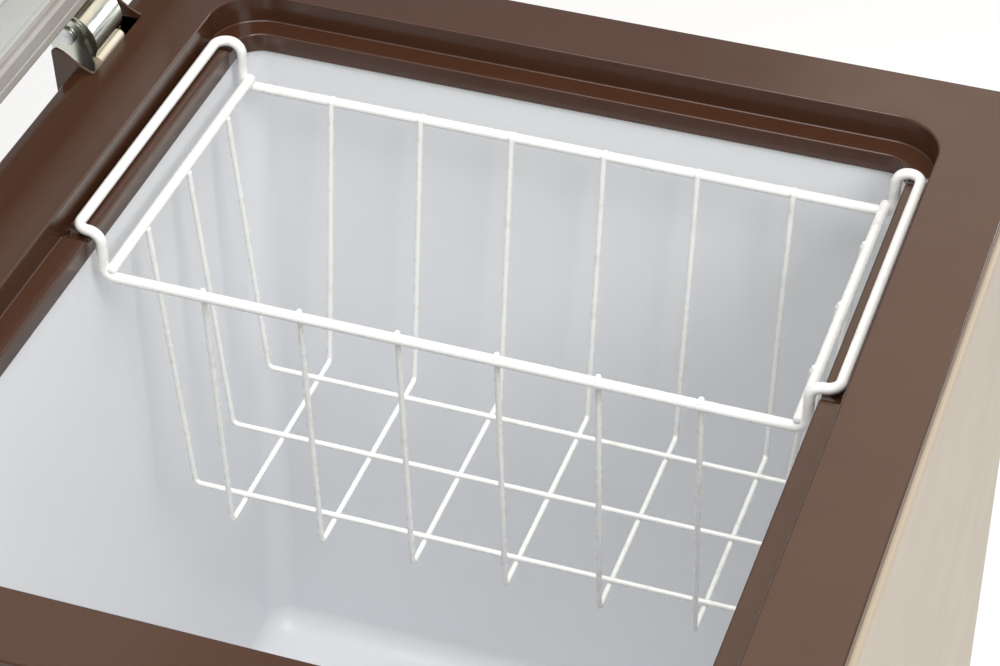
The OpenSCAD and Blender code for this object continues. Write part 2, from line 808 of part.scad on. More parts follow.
module lid_slab(inset, r, z0, z1) {
    translate([0, 0, z0]) linear_extrude(z1 - z0)
        round_rect(body_w - 2 * inset, lid_d - 2 * inset, r, lid_cy);
}

module lid_shell() color("tan") open_lid() difference() {
    lid_slab(0, lid_r, lid_z0, lid_z1);
    lid_slab(sheet_t, lid_r - sheet_t, lid_z0 + sheet_t, lid_z1 - sheet_t);
    lid_slab(lid_fold, 2, lid_z0 - 1, lid_z0 + 5);
}

module lid_foam() color("khaki") open_lid()
    lid_slab(sheet_t + skin, lid_r - sheet_t, lid_z0 + sheet_t + lid_liner_t + skin,
             lid_z1 - sheet_t - skin);

module lid_liner() color("honeydew") open_lid() difference() {
    union() {
        lid_slab(sheet_t + 0.5, lid_r - sheet_t, lid_z0 + sheet_t + skin,
                 lid_z0 + sheet_t + lid_liner_t);
        lid_slab(plug_inset, 30, rim_h - plug_drop, lid_z0 + sheet_t + 1);
    }
    lid_slab(plug_inset + lid_liner_t, 28, rim_h - plug_drop + lid_liner_t,
             lid_z0 + sheet_t + lid_liner_t + 1);
}

module gasket() color("gainsboro") open_lid() difference() {
    lid_slab(seal_in, 4, rim_h + fit, lid_z0 + sheet_t);
    lid_slab(seal_in + gasket_w, 6, rim_h, lid_z0 + 5);
}

module lid_handle() color([0.31, 0.21, 0.17]) open_lid()
    yz_plate(-handle_l / 2, handle_l / 2) polygon([
        [front_y - skin, lid_z1 - 10],
        [front_y - 14, lid_z1 - 11],
        [front_y - 20, lid_z1 - 16],
        [front_y - 21, lid_z0 + 2],
        [front_y - 17, lid_z0 + 2],
        [front_y - 15.5, lid_z1 - 20],
        [front_y - skin, lid_z1 - 17]
    ]);

module handle_screws() color("silver") open_lid()
    for (s = [-1, 1])
        translate([s * (handle_l / 2 - 16), front_y + sheet_t + skin, lid_z1 - 13.5])
            rotate([-90, 0, 0]) {
                translate([0, 0, -8]) cylinder(r = 1.8, h = 8);
                cylinder(r = 4, h = 2);
            }

// ---------- basket ----------

// path of the rim wire over half of the basket, from the middle of the left end
function hook_half(s) = [
    [basket_mid, mid_y + s * run_y, run_z],
    [basket_x0, mid_y + s * run_y, run_z],
    [basket_x0, mid_y + s * leg_y, run_z],
    [basket_x0, mid_y + s * leg_y, rim_z],
    [basket_x0, mid_y, rim_z]
];

module hook_quarter(s) bent_bar(hook_half(s), wire_r, hook_r - skin);

module basket_rim_wire() color("white")
    for (m = [0, 1]) translate([m * 2 * basket_mid, 0, 0]) mirror([m, 0, 0])
        for (s = [-1, 1]) hook_quarter(s);

module basket_side_bars() color("white")
    for (s = [-1, 1])
        x_rod(basket_x0 - 1, basket_x1 + 1, mid_y + s * bar_y, bar_z, wire_r);

module basket_long_wires() color("white")
    for (i = [-2.5 : 1 : 2.5])
        translate([0, mid_y + i * long_pitch, 0]) rotate(-90) jointed_bar([
            [0, basket_x0 + wire_r, rim_z + 1.5],
            [0, basket_x0 + wire_r + basket_lean, grid_z],
            [0, basket_x1 - wire_r - basket_lean, grid_z],
            [0, basket_x1 - wire_r, rim_z + 1.5]
        ], grid_r);

module basket_cross_wires() color("white")
    for (i = [-1 : 1]) {
        x = basket_mid + i * cross_pitch;
        z = grid_z + grid_wire - 0.3;
        jointed_bar([
            [x, mid_y - bar_y + wire_r, bar_z - 1],
            [x, mid_y - bar_y + wire_r + basket_lean, z],
            [x, mid_y + bar_y - wire_r - basket_lean, z],
            [x, mid_y + bar_y - wire_r, bar_z - 1]
        ], grid_r);
    }

front_panel();
left_panel();
right_panel();
back_panel();
base_plate();
feet();
top_frame();
liner();
cabinet_foam();
evaporator_coil();
condenser_coil();
compressor_tray();
compressor();
compressor_mounts();
start_relay();
filter_drier();
discharge_pipe();
suction_pipe();
bay_cover();
bay_cover_screws();
cord_gland();
control_panel();
thermostat();
indicator_lights();
thermostat_knob();
drain_tube();
drain_plug();
drain_cap();
hinge_bodies();
hinge_pins();
hinge_screws();
hinge_cams();
hinge_springs();
hinge_arms();
hinge_arm_screws();
lid_shell();
lid_foam();
lid_liner();
gasket();
lid_handle();
handle_screws();
basket_rim_wire();
basket_side_bars();
basket_long_wires();
basket_cross_wires();
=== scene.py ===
"""Looks of a small chest freezer: its mouldings, wires, lid, metalwork and finishes."""
import json
import math

import bmesh
import bpy
from mathutils import Matrix, Quaternion, Vector


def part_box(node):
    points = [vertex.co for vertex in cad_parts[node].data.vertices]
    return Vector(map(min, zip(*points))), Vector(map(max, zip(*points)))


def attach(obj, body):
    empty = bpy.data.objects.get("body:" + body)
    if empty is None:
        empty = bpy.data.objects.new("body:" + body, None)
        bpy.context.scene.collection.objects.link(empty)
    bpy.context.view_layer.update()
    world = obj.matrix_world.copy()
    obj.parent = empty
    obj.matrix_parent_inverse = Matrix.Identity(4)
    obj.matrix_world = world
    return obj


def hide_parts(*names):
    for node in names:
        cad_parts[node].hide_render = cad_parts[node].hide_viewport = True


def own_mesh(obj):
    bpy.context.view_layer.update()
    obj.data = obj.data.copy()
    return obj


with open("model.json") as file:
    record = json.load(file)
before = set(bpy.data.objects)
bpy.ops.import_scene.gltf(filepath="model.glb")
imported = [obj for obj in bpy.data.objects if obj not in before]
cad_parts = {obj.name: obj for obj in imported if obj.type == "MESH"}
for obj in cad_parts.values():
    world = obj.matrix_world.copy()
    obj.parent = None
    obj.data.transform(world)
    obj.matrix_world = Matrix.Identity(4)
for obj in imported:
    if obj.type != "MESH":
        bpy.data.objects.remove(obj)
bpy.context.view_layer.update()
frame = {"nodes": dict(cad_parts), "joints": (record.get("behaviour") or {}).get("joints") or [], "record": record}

MM = 0.001
SLOT_OF = {s["node"]: s["material_slot"] for s in frame["record"]["subparts"]}
BODY_OF = {n: b for b, nodes in frame["record"]["behaviour"]["bodies"].items() for n in nodes}


def span(node):
    """Lowest and highest corner of a frame node, in millimetres."""
    lo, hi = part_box(node)
    return lo / MM, hi / MM


# ---------- sizes in millimetres ----------
# Boxes and the lid's hinge are read from the frame. The rest are the frame's own sizes again,
# or are chosen to go with them where only the looks have a shape.

panel_lo, panel_hi = span("front_panel")
liner_lo, liner_hi = span("liner")
lining_lo = span("lid_liner")[0]
rim_wire_lo, rim_wire_hi = span("basket_rim_wire")
long_lo, long_hi = span("basket_long_wires")
cross_lo, cross_hi = span("basket_cross_wires")
bars_lo, bars_hi = span("basket_side_bars")
spring_lo, spring_hi = span("hinge_springs")
lid_joint = next(j for j in frame["joints"] if j["name"] == "lid_hinge")
HINGE = Vector(lid_joint["pos_m"]) / MM

BODY_X = panel_hi.x
FRONT = panel_lo.y
BACK = span("back_panel")[1].y
PANEL_TOP = panel_hi.z

# The top frame: its rim above the front sheet, its rails, and the opening's ledge and skirt.
LIP = 8
RIM = PANEL_TOP + LIP
ROLL = 4
FRAME_T = 2.5
FRAME_R = 3
END_RAIL = 46
FRONT_RAIL = 47.5
REAR_RAIL = 54
LEDGE_DROP = 18
LEDGE_W = 15.3
SKIRT_H = 12.5
SKIRT_T = 1.8
CORNER_R = 32
SLOPE_W = 9.5
SLOPE_H = 2
SLOPE_BAND = 3  # how far below the rim the slope still moves things
LAP = 6  # how far past a bend a flat is carried before the next ring
RIM_BEND = 1.8
WALL_BEND = 1.2
LEDGE_BEND = 1
SKIRT_BEND = 1.1

FRAME_X = BODY_X - ROLL
FRAME_Y0 = FRONT + ROLL
FRAME_Y = (FRAME_Y0 + BACK) / 2
RAIL_X = FRAME_X - END_RAIL
RAIL_Y0 = FRAME_Y0 + FRONT_RAIL
RAIL_Y1 = BACK - REAR_RAIL
RAIL_D = RAIL_Y1 - RAIL_Y0
MID_Y = (RAIL_Y0 + RAIL_Y1) / 2
LEDGE_Z = RIM - LEDGE_DROP
SKIRT_Z = LEDGE_Z - SKIRT_H

# The notches in the ledges, where the basket's hooks lie.
HOOK_GAP = 0.3
NOTCH_R = 7
BOSS_R = 9.5
BOSS_ARC = range(-152, -27, 4)  # degrees
LINER_NOTCH_R = 9.8
LINER_NOTCH_INSET = 5

# The liner: the step over the compressor bay, its bends and its drain.
LINER_T = 1.2
LINER_R = 18
STEP_R = 3.5
BEND_STEPS = 8
COVE_SLACK = 0.5
FLOOR = liner_lo.z + LINER_T
STEP_W = 186
STEP_X = liner_hi.x - LINER_T - STEP_W
STEP_Z = 275
DRAIN_R = 8.3
DRAIN = (span("drain_plug")[0] + span("drain_plug")[1]) / 2

# The lid, as it lies when closed: its sheet, its lining and its seal.
SHEET = 0.8
LID_GAP = 6
LID_TOP = 48
LID_SETBACK = 6.5
LID_R = 8
LID_Z0 = RIM + LID_GAP
LID_Z1 = RIM + LID_TOP
LID_Y1 = BACK - LID_SETBACK
LID_Y = (FRONT + LID_Y1) / 2
LID_D = LID_Y1 - FRONT
LID_SHEET = (2 * BODY_X, LID_D, LID_R, LID_Y)
LID_FOLD = 6.3
CAP_INSET = 30  # from a bend to the closing face of a broad flat
FOLD_FIT = 0.4
GASKET_W = 20
SEAL_GAP = 0.3
LINING_INSET = 1.4
LINING_FIT = 0.01
LINING_T = 1.5
LINING_STEP = 1.6
MIDDLE_INSET = 74
MIDDLE_R = 30
MIDDLE_Z = HINGE.z + lining_lo.y - HINGE.y

# The basket's two wires, as radii, and the bends in them.
WIRE = 3.25
GRID = 1.75
HOOK_R = 7.6
GRID_R = 4

# The hinges: each has a pocket in the rear rail, with a cheek on either side.
SPRING_OUT = 7
HINGE_X = spring_hi.x - SPRING_OUT
POCKET = 35.5
POCKET_D = 13
POCKET_H = 27
POCKET_Y = BACK - POCKET_D
POCKET_Z = RIM - POCKET_H
POCKET_T = 2
POCKET_FIT = 0.02
POCKET_EASE = 0.45


# ---------- shapes ----------

def eased(points, radii, steps=6, closed=False):
    """The line through some points, with an arc at each corner."""
    line = []
    for i, p in enumerate(points):
        r = radii[i] if isinstance(radii, (list, tuple)) else radii
        if not r or (not closed and i in (0, len(points) - 1)):
            line.append(Vector(p))
            continue
        p = Vector(p)
        to_last = (Vector(points[i - 1]) - p).normalized()
        to_next = (Vector(points[(i + 1) % len(points)]) - p).normalized()
        half = to_last.angle(to_next) / 2
        turn = math.pi - 2 * half
        centre = p + (to_last + to_next).normalized() * r / math.sin(half)
        start = p + to_last * r / math.tan(half) - centre
        end = p + to_next * r / math.tan(half) - centre
        for k in range(steps + 1):
            t = k / steps
            arm = start * math.sin((1 - t) * turn) + end * math.sin(t * turn)
            line.append(centre + arm / math.sin(turn))
    return line


def ring(bm, w, d, r, z, cy, steps):
    """Loop of edges round a rectangle with round corners."""
    before = set(bm.faces)
    corners = [bm.verts.new((x * w / 2, cy + y * d / 2, z))
               for x, y in ((1, 1), (-1, 1), (-1, -1), (1, -1))]
    bm.faces.new(corners)
    bmesh.ops.bevel(bm, geom=corners, offset=r, offset_type="OFFSET", affect="VERTICES",
                    segments=steps, profile=0.5, material=-1)
    face = next(f for f in bm.faces if f not in before)
    edges = list(face.edges)
    bmesh.ops.delete(bm, geom=[face], context="FACES_ONLY")
    return edges


def bridged(bm, a, b):
    """Band of faces between two rings, which are held apart meanwhile.

    Two rings at one height are otherwise at times paired the wrong way round.
    """
    apart = 5
    upper = max(a, b, key=lambda edges: edges[0].verts[0].co.z)
    verts = list({v for e in upper for v in e.verts})
    bmesh.ops.translate(bm, vec=(0, 0, apart), verts=verts)
    bmesh.ops.bridge_loops(bm, edges=a + b)
    bmesh.ops.translate(bm, vec=(0, 0, -apart), verts=verts)


def around(w, d, r, cy, line):
    """Rings at each (inset, height) of a line, round one rectangle."""
    return [(w - 2 * t, d - 2 * t, max(r - t, 0.6), z, cy) for t, z in line]


def loft(rings, closed=False, steps=12):
    """Skin over a stack of rings: a closed loop of rings, or a stack with a face at each end."""
    bm = bmesh.new()
    made = [ring(bm, *row, steps) for row in rings]
    pairs = list(zip(made, made[1:]))
    if closed:
        pairs.append((made[-1], made[0]))
    for a, b in pairs:
        bridged(bm, a, b)
    if not closed:
        for end in (made[0], made[-1]):
            bmesh.ops.holes_fill(bm, edges=end, sides=0)
    bmesh.ops.recalc_face_normals(bm, faces=bm.faces)
    return bm


def prism(outline, axis, lo, hi):
    """Solid between lo and hi along an axis, from an outline in the other two axes."""
    bm = bmesh.new()
    verts = []
    for point in outline:
        at = list(point)
        at.insert(axis, lo)
        verts.append(bm.verts.new(at))
    up = bmesh.ops.extrude_face_region(bm, geom=[bm.faces.new(verts)])["geom"]
    move = [0, 0, 0]
    move[axis] = hi - lo
    bmesh.ops.translate(bm, vec=move, verts=[v for v in up if isinstance(v, bmesh.types.BMVert)])
    bmesh.ops.recalc_face_normals(bm, faces=bm.faces)
    return bm


def block(lo, hi):
    """Box between two corners."""
    outline = [(lo[0], lo[1]), (hi[0], lo[1]), (hi[0], hi[1]), (lo[0], hi[1])]
    return prism(outline, 2, lo[2], hi[2])


def rod(start, end, r, sides=48):
    """Cylinder between two points."""
    start, end = Vector(start), Vector(end)
    bm = bmesh.new()
    turn = (end - start).to_track_quat("Z", "Y").to_matrix().to_4x4()
    bmesh.ops.create_cone(bm, cap_ends=True, segments=sides, radius1=r, radius2=r,
                          depth=(end - start).length,
                          matrix=Matrix.Translation((start + end) / 2) @ turn)
    return bm


def wire(line, r, closed=False, sides=5):
    """Round wire along a line of points."""
    curve = bpy.data.curves.new("wire", "CURVE")
    curve.dimensions = "3D"
    curve.bevel_depth = r
    curve.bevel_resolution = sides
    curve.use_fill_caps = True
    spline = curve.splines.new("POLY")
    spline.points.add(len(line) - 1)
    for point, p in zip(spline.points, line):
        point.co = (*p, 1)
    spline.use_cyclic_u = closed
    holder = bpy.data.objects.new("wire", curve)
    bpy.context.scene.collection.objects.link(holder)
    seen = holder.evaluated_get(bpy.context.evaluated_depsgraph_get())
    mesh = bpy.data.meshes.new_from_object(seen)
    bm = bmesh.new()
    bm.from_mesh(mesh)
    bpy.data.objects.remove(holder)
    bmesh.ops.remove_doubles(bm, verts=bm.verts, dist=0.001)
    bmesh.ops.recalc_face_normals(bm, faces=bm.faces)
    return bm


def bead(at, size):
    """Small smooth lump of weld under its coating."""
    bm = bmesh.new()
    bmesh.ops.create_icosphere(bm, subdivisions=2, radius=1)
    bmesh.ops.scale(bm, vec=size, verts=bm.verts)
    bmesh.ops.translate(bm, vec=at, verts=bm.verts)
    return bm


def joined(parts):
    """Several shapes as one."""
    whole = bmesh.new()
    for bm in parts:
        mesh = bpy.data.meshes.new("part")
        bm.to_mesh(mesh)
        bm.free()
        whole.from_mesh(mesh)
        bpy.data.meshes.remove(mesh)
    return whole


def boolean(bm, tool, operation="DIFFERENCE"):
    """A closed shape with another cut out of it, or added to it."""
    holders = []
    for shape in (bm, tool):
        mesh = bpy.data.meshes.new("shape")
        shape.to_mesh(mesh)
        shape.free()
        holder = bpy.data.objects.new("shape", mesh)
        bpy.context.scene.collection.objects.link(holder)
        holders.append(holder)
    cut = holders[0].modifiers.new("cut", "BOOLEAN")
    cut.operation, cut.solver, cut.object = operation, "EXACT", holders[1]
    seen = holders[0].evaluated_get(bpy.context.evaluated_depsgraph_get())
    out = bmesh.new()
    out.from_mesh(bpy.data.meshes.new_from_object(seen))
    for holder in holders:
        bpy.data.objects.remove(holder)
    return out


def copied(node):
    """A frame node's shape as a clean solid, in millimetres."""
    bm = bmesh.new()
    bm.from_mesh(frame["nodes"][node].data)
    bmesh.ops.scale(bm, vec=(1 / MM,) * 3, verts=bm.verts)
    bmesh.ops.remove_doubles(bm, verts=bm.verts, dist=0.002)
    bmesh.ops.dissolve_limit(bm, angle_limit=math.radians(0.5), verts=bm.verts, edges=bm.edges)
    return bm


def softened(bm, width, segments=2, angle=32):
    """Rounds every edge that is sharper than an angle."""
    edges = [e for e in bm.edges
             if len(e.link_faces) == 2 and e.calc_face_angle() > math.radians(angle)]
    bmesh.ops.bevel(bm, geom=edges, offset=width, offset_type="OFFSET", affect="EDGES",
                    segments=segments, profile=0.5, material=-1, clamp_overlap=True)
    return bm


def piece(name, bm, *nodes, sharp=38, opened=False):
    """Finished object in metres, which rides with the frame nodes that it stands for."""
    if opened:
        swing = Matrix.Rotation(-math.pi / 2, 4, "X")
        about_hinge = Matrix.Translation(HINGE) @ swing @ Matrix.Translation(-HINGE)
        bmesh.ops.transform(bm, matrix=about_hinge, verts=bm.verts)
    bmesh.ops.scale(bm, vec=(MM,) * 3, verts=bm.verts)
    for face in bm.faces:
        face.smooth = True
    for edge in bm.edges:
        if len(edge.link_faces) == 2:
            edge.smooth = edge.calc_face_angle() < math.radians(sharp)
    mesh = bpy.data.meshes.new(name)
    bm.to_mesh(mesh)
    bm.free()
    made = bpy.data.objects.new(name, mesh)
    bpy.context.scene.collection.objects.link(made)
    even = made.modifiers.new("even shading", "WEIGHTED_NORMAL")
    even.keep_sharp = True
    even.weight = 90
    mesh.materials.append(FINISH[SLOT_OF[nodes[0]]])
    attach(made, BODY_OF[nodes[0]])
    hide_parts(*nodes)
    return made


# ---------- finishes ----------

def shader(name, colour, roughness, metallic=0.0, **sockets):
    """Material with one glossy shader."""
    made = bpy.data.materials.new(name)
    made.use_nodes = True
    main = made.node_tree.nodes["Principled BSDF"]
    main.inputs["Base Color"].default_value = (*colour, 1)
    main.inputs["Roughness"].default_value = roughness
    main.inputs["Metallic"].default_value = metallic
    for socket, value in sockets.items():
        main.inputs[socket.replace("_", " ").title()].default_value = value
    return made


def pattern(made, kind, scale, stretch=(1, 1, 1), detail=3.0):
    """Value of a noise or cell pattern, measured in metres on the piece."""
    nodes, links = made.node_tree.nodes, made.node_tree.links
    place = nodes.new("ShaderNodeTexCoord")
    turn = nodes.new("ShaderNodeMapping")
    turn.inputs["Scale"].default_value = stretch
    texture = nodes.new({"noise": "ShaderNodeTexNoise", "cells": "ShaderNodeTexVoronoi"}[kind])
    texture.inputs["Scale"].default_value = scale
    links.new(place.outputs["Object"], turn.inputs["Vector"])
    links.new(turn.outputs["Vector"], texture.inputs["Vector"])
    if kind == "cells":
        grey = nodes.new("ShaderNodeSeparateColor")
        links.new(texture.outputs["Color"], grey.inputs["Color"])
        return grey.outputs["Red"]
    texture.inputs["Detail"].default_value = detail
    return texture.outputs["Fac"]


def tinted(made, value, colour, low=0.35, high=0.65):
    """Blends the base colour towards another one where the value is high."""
    nodes, links = made.node_tree.nodes, made.node_tree.links
    target = nodes["Principled BSDF"].inputs["Base Color"]
    mix = nodes.new("ShaderNodeMix")
    mix.data_type = "RGBA"
    if target.is_linked:
        links.new(target.links[0].from_socket, mix.inputs["A"])
    else:
        mix.inputs["A"].default_value = target.default_value
    mix.inputs["B"].default_value = (*colour, 1)
    reach = nodes.new("ShaderNodeMapRange")
    reach.inputs["From Min"].default_value = low
    reach.inputs["From Max"].default_value = high
    links.new(value, reach.inputs["Value"])
    links.new(reach.outputs["Result"], mix.inputs["Factor"])
    links.new(mix.outputs["Result"], target)


def worn(made, value, low, high):
    """Roughness that runs from low to high with the value."""
    nodes, links = made.node_tree.nodes, made.node_tree.links
    reach = nodes.new("ShaderNodeMapRange")
    reach.inputs["From Min"].default_value = 0.3
    reach.inputs["From Max"].default_value = 0.7
    reach.inputs["To Min"].default_value = low
    reach.inputs["To Max"].default_value = high
    links.new(value, reach.inputs["Value"])
    links.new(reach.outputs["Result"], nodes["Principled BSDF"].inputs["Roughness"])


def raised(made, value, height):
    """Bumps of a height in millimetres, on top of any others."""
    nodes, links = made.node_tree.nodes, made.node_tree.links
    target = nodes["Principled BSDF"].inputs["Normal"]
    bump = nodes.new("ShaderNodeBump")
    bump.inputs["Distance"].default_value = height * MM
    bump.inputs["Strength"].default_value = 1.0
    if target.is_linked:
        links.new(target.links[0].from_socket, bump.inputs["Normal"])
    links.new(value, bump.inputs["Height"])
    links.new(bump.outputs["Normal"], target)


def moulded_brown():
    """Dark brown moulding with a low sheen."""
    made = shader("moulded_brown", (0.053, 0.0200, 0.0098), 0.20,
                  Coat_Weight=0.05, Coat_Roughness=0.06)
    tinted(made, pattern(made, "noise", 9, detail=2), (0.056, 0.022, 0.011))
    worn(made, pattern(made, "noise", 34), 0.16, 0.24)
    raised(made, pattern(made, "noise", 520, detail=1), 0.004)
    return made


def enamelled_sheet(name, colour, other):
    """Baked enamel on sheet steel, nearly smooth."""
    made = shader(name, colour, 0.42, Coat_Weight=0.06, Coat_Roughness=0.2)
    tinted(made, pattern(made, "noise", 6, detail=2), other)
    worn(made, pattern(made, "noise", 25), 0.40, 0.46)
    raised(made, pattern(made, "noise", 900, detail=1), 0.003)
    return made


def vacuum_formed(name, colour, other):
    """Pale formed sheet, with shallow waves that run up its walls."""
    made = shader(name, colour, 0.34)
    tinted(made, pattern(made, "noise", 5, detail=2), other)
    worn(made, pattern(made, "noise", 18), 0.28, 0.38)
    raised(made, pattern(made, "noise", 16, (1, 1, 0.12), 1), 0.5)
    raised(made, pattern(made, "noise", 700, detail=2), 0.003)
    return made


def coated_wire():
    """White dipped coating, a little uneven and yellowed in places."""
    made = shader("coated_wire", (0.88, 0.87, 0.84), 0.26, Coat_Weight=0.3, Coat_Roughness=0.1)
    tinted(made, pattern(made, "noise", 55), (0.70, 0.68, 0.62), 0.60, 0.80)
    worn(made, pattern(made, "noise", 120), 0.22, 0.34)
    raised(made, pattern(made, "noise", 150, detail=2), 0.05)
    return made


def zinc_plate(name, colour, other, roughness=0.26, spangle=70):
    """Zinc on steel, with its spangle."""
    made = shader(name, colour, roughness, 1.0)
    tinted(made, pattern(made, "cells", spangle), other, 0.1, 0.9)
    worn(made, pattern(made, "noise", 60), roughness - 0.06, roughness + 0.08)
    raised(made, pattern(made, "noise", 420, (1, 1, 4), 2), 0.012)
    return made


def rubbery(name, colour, other, roughness=0.55):
    """Dull rubber with a fine grain."""
    made = shader(name, colour, roughness)
    tinted(made, pattern(made, "noise", 30), other)
    worn(made, pattern(made, "noise", 70), roughness - 0.08, roughness + 0.08)
    raised(made, pattern(made, "noise", 900), 0.02)
    return made


def plain_plastic(name, colour, other, roughness=0.4):
    """Moulded plastic with a very fine grain."""
    made = shader(name, colour, roughness)
    tinted(made, pattern(made, "noise", 40), other)
    worn(made, pattern(made, "noise", 90), roughness - 0.06, roughness + 0.06)
    raised(made, pattern(made, "noise", 1400, detail=1), 0.012)
    return made


def drawn_metal(name, colour, other, roughness=0.3):
    """Metal with fine lines along its length."""
    made = shader(name, colour, roughness, 1.0)
    tinted(made, pattern(made, "noise", 90), other)
    worn(made, pattern(made, "noise", 200, (1, 1, 6)), roughness - 0.08, roughness + 0.1)
    raised(made, pattern(made, "noise", 1200, (1, 1, 8), 2), 0.006)
    return made


def blown_foam():
    """Cellular foam, cut open."""
    made = shader("blown_foam", (0.72, 0.62, 0.38), 0.9)
    tinted(made, pattern(made, "noise", 60), (0.80, 0.72, 0.48))
    worn(made, pattern(made, "noise", 40), 0.85, 0.95)
    raised(made, pattern(made, "cells", 700), 0.3)
    return made


FINISH = {
    "frame_plastic": moulded_brown(),
    "painted_sheet": enamelled_sheet("champagne_enamel", (0.40, 0.33, 0.243), (0.41, 0.338, 0.25)),
    "zinc_sheet": zinc_plate("zinc_sheet", (0.60, 0.62, 0.63), (0.68, 0.69, 0.69)),
    "foot_rubber": rubbery("foot_rubber", (0.025, 0.025, 0.026), (0.04, 0.04, 0.04), 0.6),
    "liner_sheet": vacuum_formed("liner_sheet", (0.79, 0.80, 0.82), (0.80, 0.812, 0.826)),
    "foam": blown_foam(),
    "evaporator_tube": drawn_metal("evaporator_tube", (0.78, 0.79, 0.80), (0.70, 0.71, 0.73)),
    "condenser_tube": enamelled_sheet("condenser_tube", (0.10, 0.055, 0.03), (0.13, 0.07, 0.04)),
    "compressor_paint": enamelled_sheet(
        "compressor_paint", (0.015, 0.015, 0.016), (0.02, 0.02, 0.02)),
    "mount_rubber": rubbery("mount_rubber", (0.03, 0.03, 0.03), (0.05, 0.05, 0.05)),
    "black_plastic": plain_plastic("black_plastic", (0.02, 0.02, 0.021), (0.03, 0.03, 0.03), 0.45),
    "copper": drawn_metal("copper_tube", (0.80, 0.42, 0.26), (0.60, 0.27, 0.16)),
    "screw_steel": drawn_metal("screw_steel", (0.60, 0.60, 0.60), (0.66, 0.66, 0.62), 0.28),
    "thermostat_body": plain_plastic("thermostat_body", (0.30, 0.30, 0.31), (0.34, 0.34, 0.35)),
    "lamp_lens": shader("lamp_lens", (0.05, 0.45, 0.10), 0.12, Transmission_Weight=0.35),
    "knob_plastic": plain_plastic("knob_plastic", (0.74, 0.71, 0.64), (0.77, 0.74, 0.68), 0.28),
    "drain_plastic": plain_plastic("drain_plastic", (0.52, 0.53, 0.54), (0.57, 0.58, 0.58), 0.42),
    "cap_plastic": plain_plastic("cap_plastic", (0.60, 0.52, 0.41), (0.63, 0.55, 0.44), 0.36),
    "hinge_zinc": zinc_plate("hinge_zinc", (0.60, 0.61, 0.53), (0.50, 0.56, 0.52), 0.2, 45),
    "cam_nylon": plain_plastic("cam_nylon", (0.72, 0.62, 0.46), (0.80, 0.72, 0.58), 0.35),
    "spring_steel": drawn_metal("spring_steel", (0.20, 0.20, 0.21), (0.30, 0.30, 0.30), 0.35),
    "lid_lining": vacuum_formed("lid_lining", (0.70, 0.72, 0.67), (0.72, 0.74, 0.70)),
    "gasket_rubber": rubbery("gasket_rubber", (0.40, 0.37, 0.345), (0.43, 0.41, 0.38), 0.42),
    "coated_wire": coated_wire(),
}
FINISH["control_plastic"] = FINISH["handle_plastic"] = FINISH["frame_plastic"]
tinted(FINISH["lamp_lens"], pattern(FINISH["lamp_lens"], "cells", 900), (0.08, 0.60, 0.16))


# ---------- top frame ----------

def frame_moulding():
    """Rails, wall, basket ledge and skirt as one moulding."""
    outer = (2 * FRAME_X, BACK - FRAME_Y0, FRAME_R, FRAME_Y)
    inner = (2 * RAIL_X, RAIL_D, CORNER_R, MID_Y)
    hole = (2 * (RAIL_X - LEDGE_W), RAIL_D - 2 * LEDGE_W, CORNER_R - LEDGE_W, MID_Y)
    under = LEDGE_Z - FRAME_T
    rings = around(*outer, eased(
        [(FRAME_T, PANEL_TOP), (0, PANEL_TOP), (0, RIM), (LAP, RIM)], [0, 0.5, RIM_BEND, 0], 4))
    rings += around(*inner, eased(
        [(-LAP, RIM), (0, RIM), (0, LEDGE_Z), (8, LEDGE_Z)], [0, WALL_BEND, LEDGE_BEND, 0], 4))
    rings += around(*hole, eased(
        [(-4, LEDGE_Z), (0, LEDGE_Z), (0, SKIRT_Z), (-SKIRT_T, SKIRT_Z), (-SKIRT_T, under)],
        [0, SKIRT_BEND, 0.5, 0.3, 0], 5))
    rings += around(*inner, [(-FRAME_T, under), (-FRAME_T, RIM - FRAME_T), (-LAP, RIM - FRAME_T)])
    rings += around(*outer, [(LAP, RIM - FRAME_T), (FRAME_T, RIM - FRAME_T)])
    bm = loft(rings, closed=True)
    # The rear edge slopes down, so the mesh gets a line of edges to bend along.
    crease = BACK - SLOPE_W
    bmesh.ops.bisect_plane(bm, geom=bm.verts[:] + bm.edges[:] + bm.faces[:], dist=0.001,
                           plane_co=(0, crease, 0), plane_no=(0, 1, 0))
    for v in bm.verts:
        if v.co.y > crease and v.co.z > RIM - SLOPE_BAND:
            v.co.z -= SLOPE_H * (v.co.y - crease) / SLOPE_W
    return bm


def notch_rods(r, inset):
    """Rods across both ledges, where the basket's hooks lie."""
    half = RAIL_D / 2 - inset
    return [rod((x, MID_Y - half, NOTCH_Z), (x, MID_Y + half, NOTCH_Z), r) for x in BASKET_X]


def notch_bosses():
    """Half-round supports under the notches."""
    parts = []
    for x in BASKET_X:
        for s in (-1, 1):
            ends = sorted((MID_Y + s * (RAIL_D / 2 - LEDGE_W + SKIRT_T / 2),
                           MID_Y + s * (RAIL_D / 2 - 1)))
            arc = [(x + BOSS_R * math.cos(math.radians(a)),
                    NOTCH_Z + BOSS_R * math.sin(math.radians(a))) for a in BOSS_ARC]
            parts.append(prism(arc, 1, *ends))
    return parts


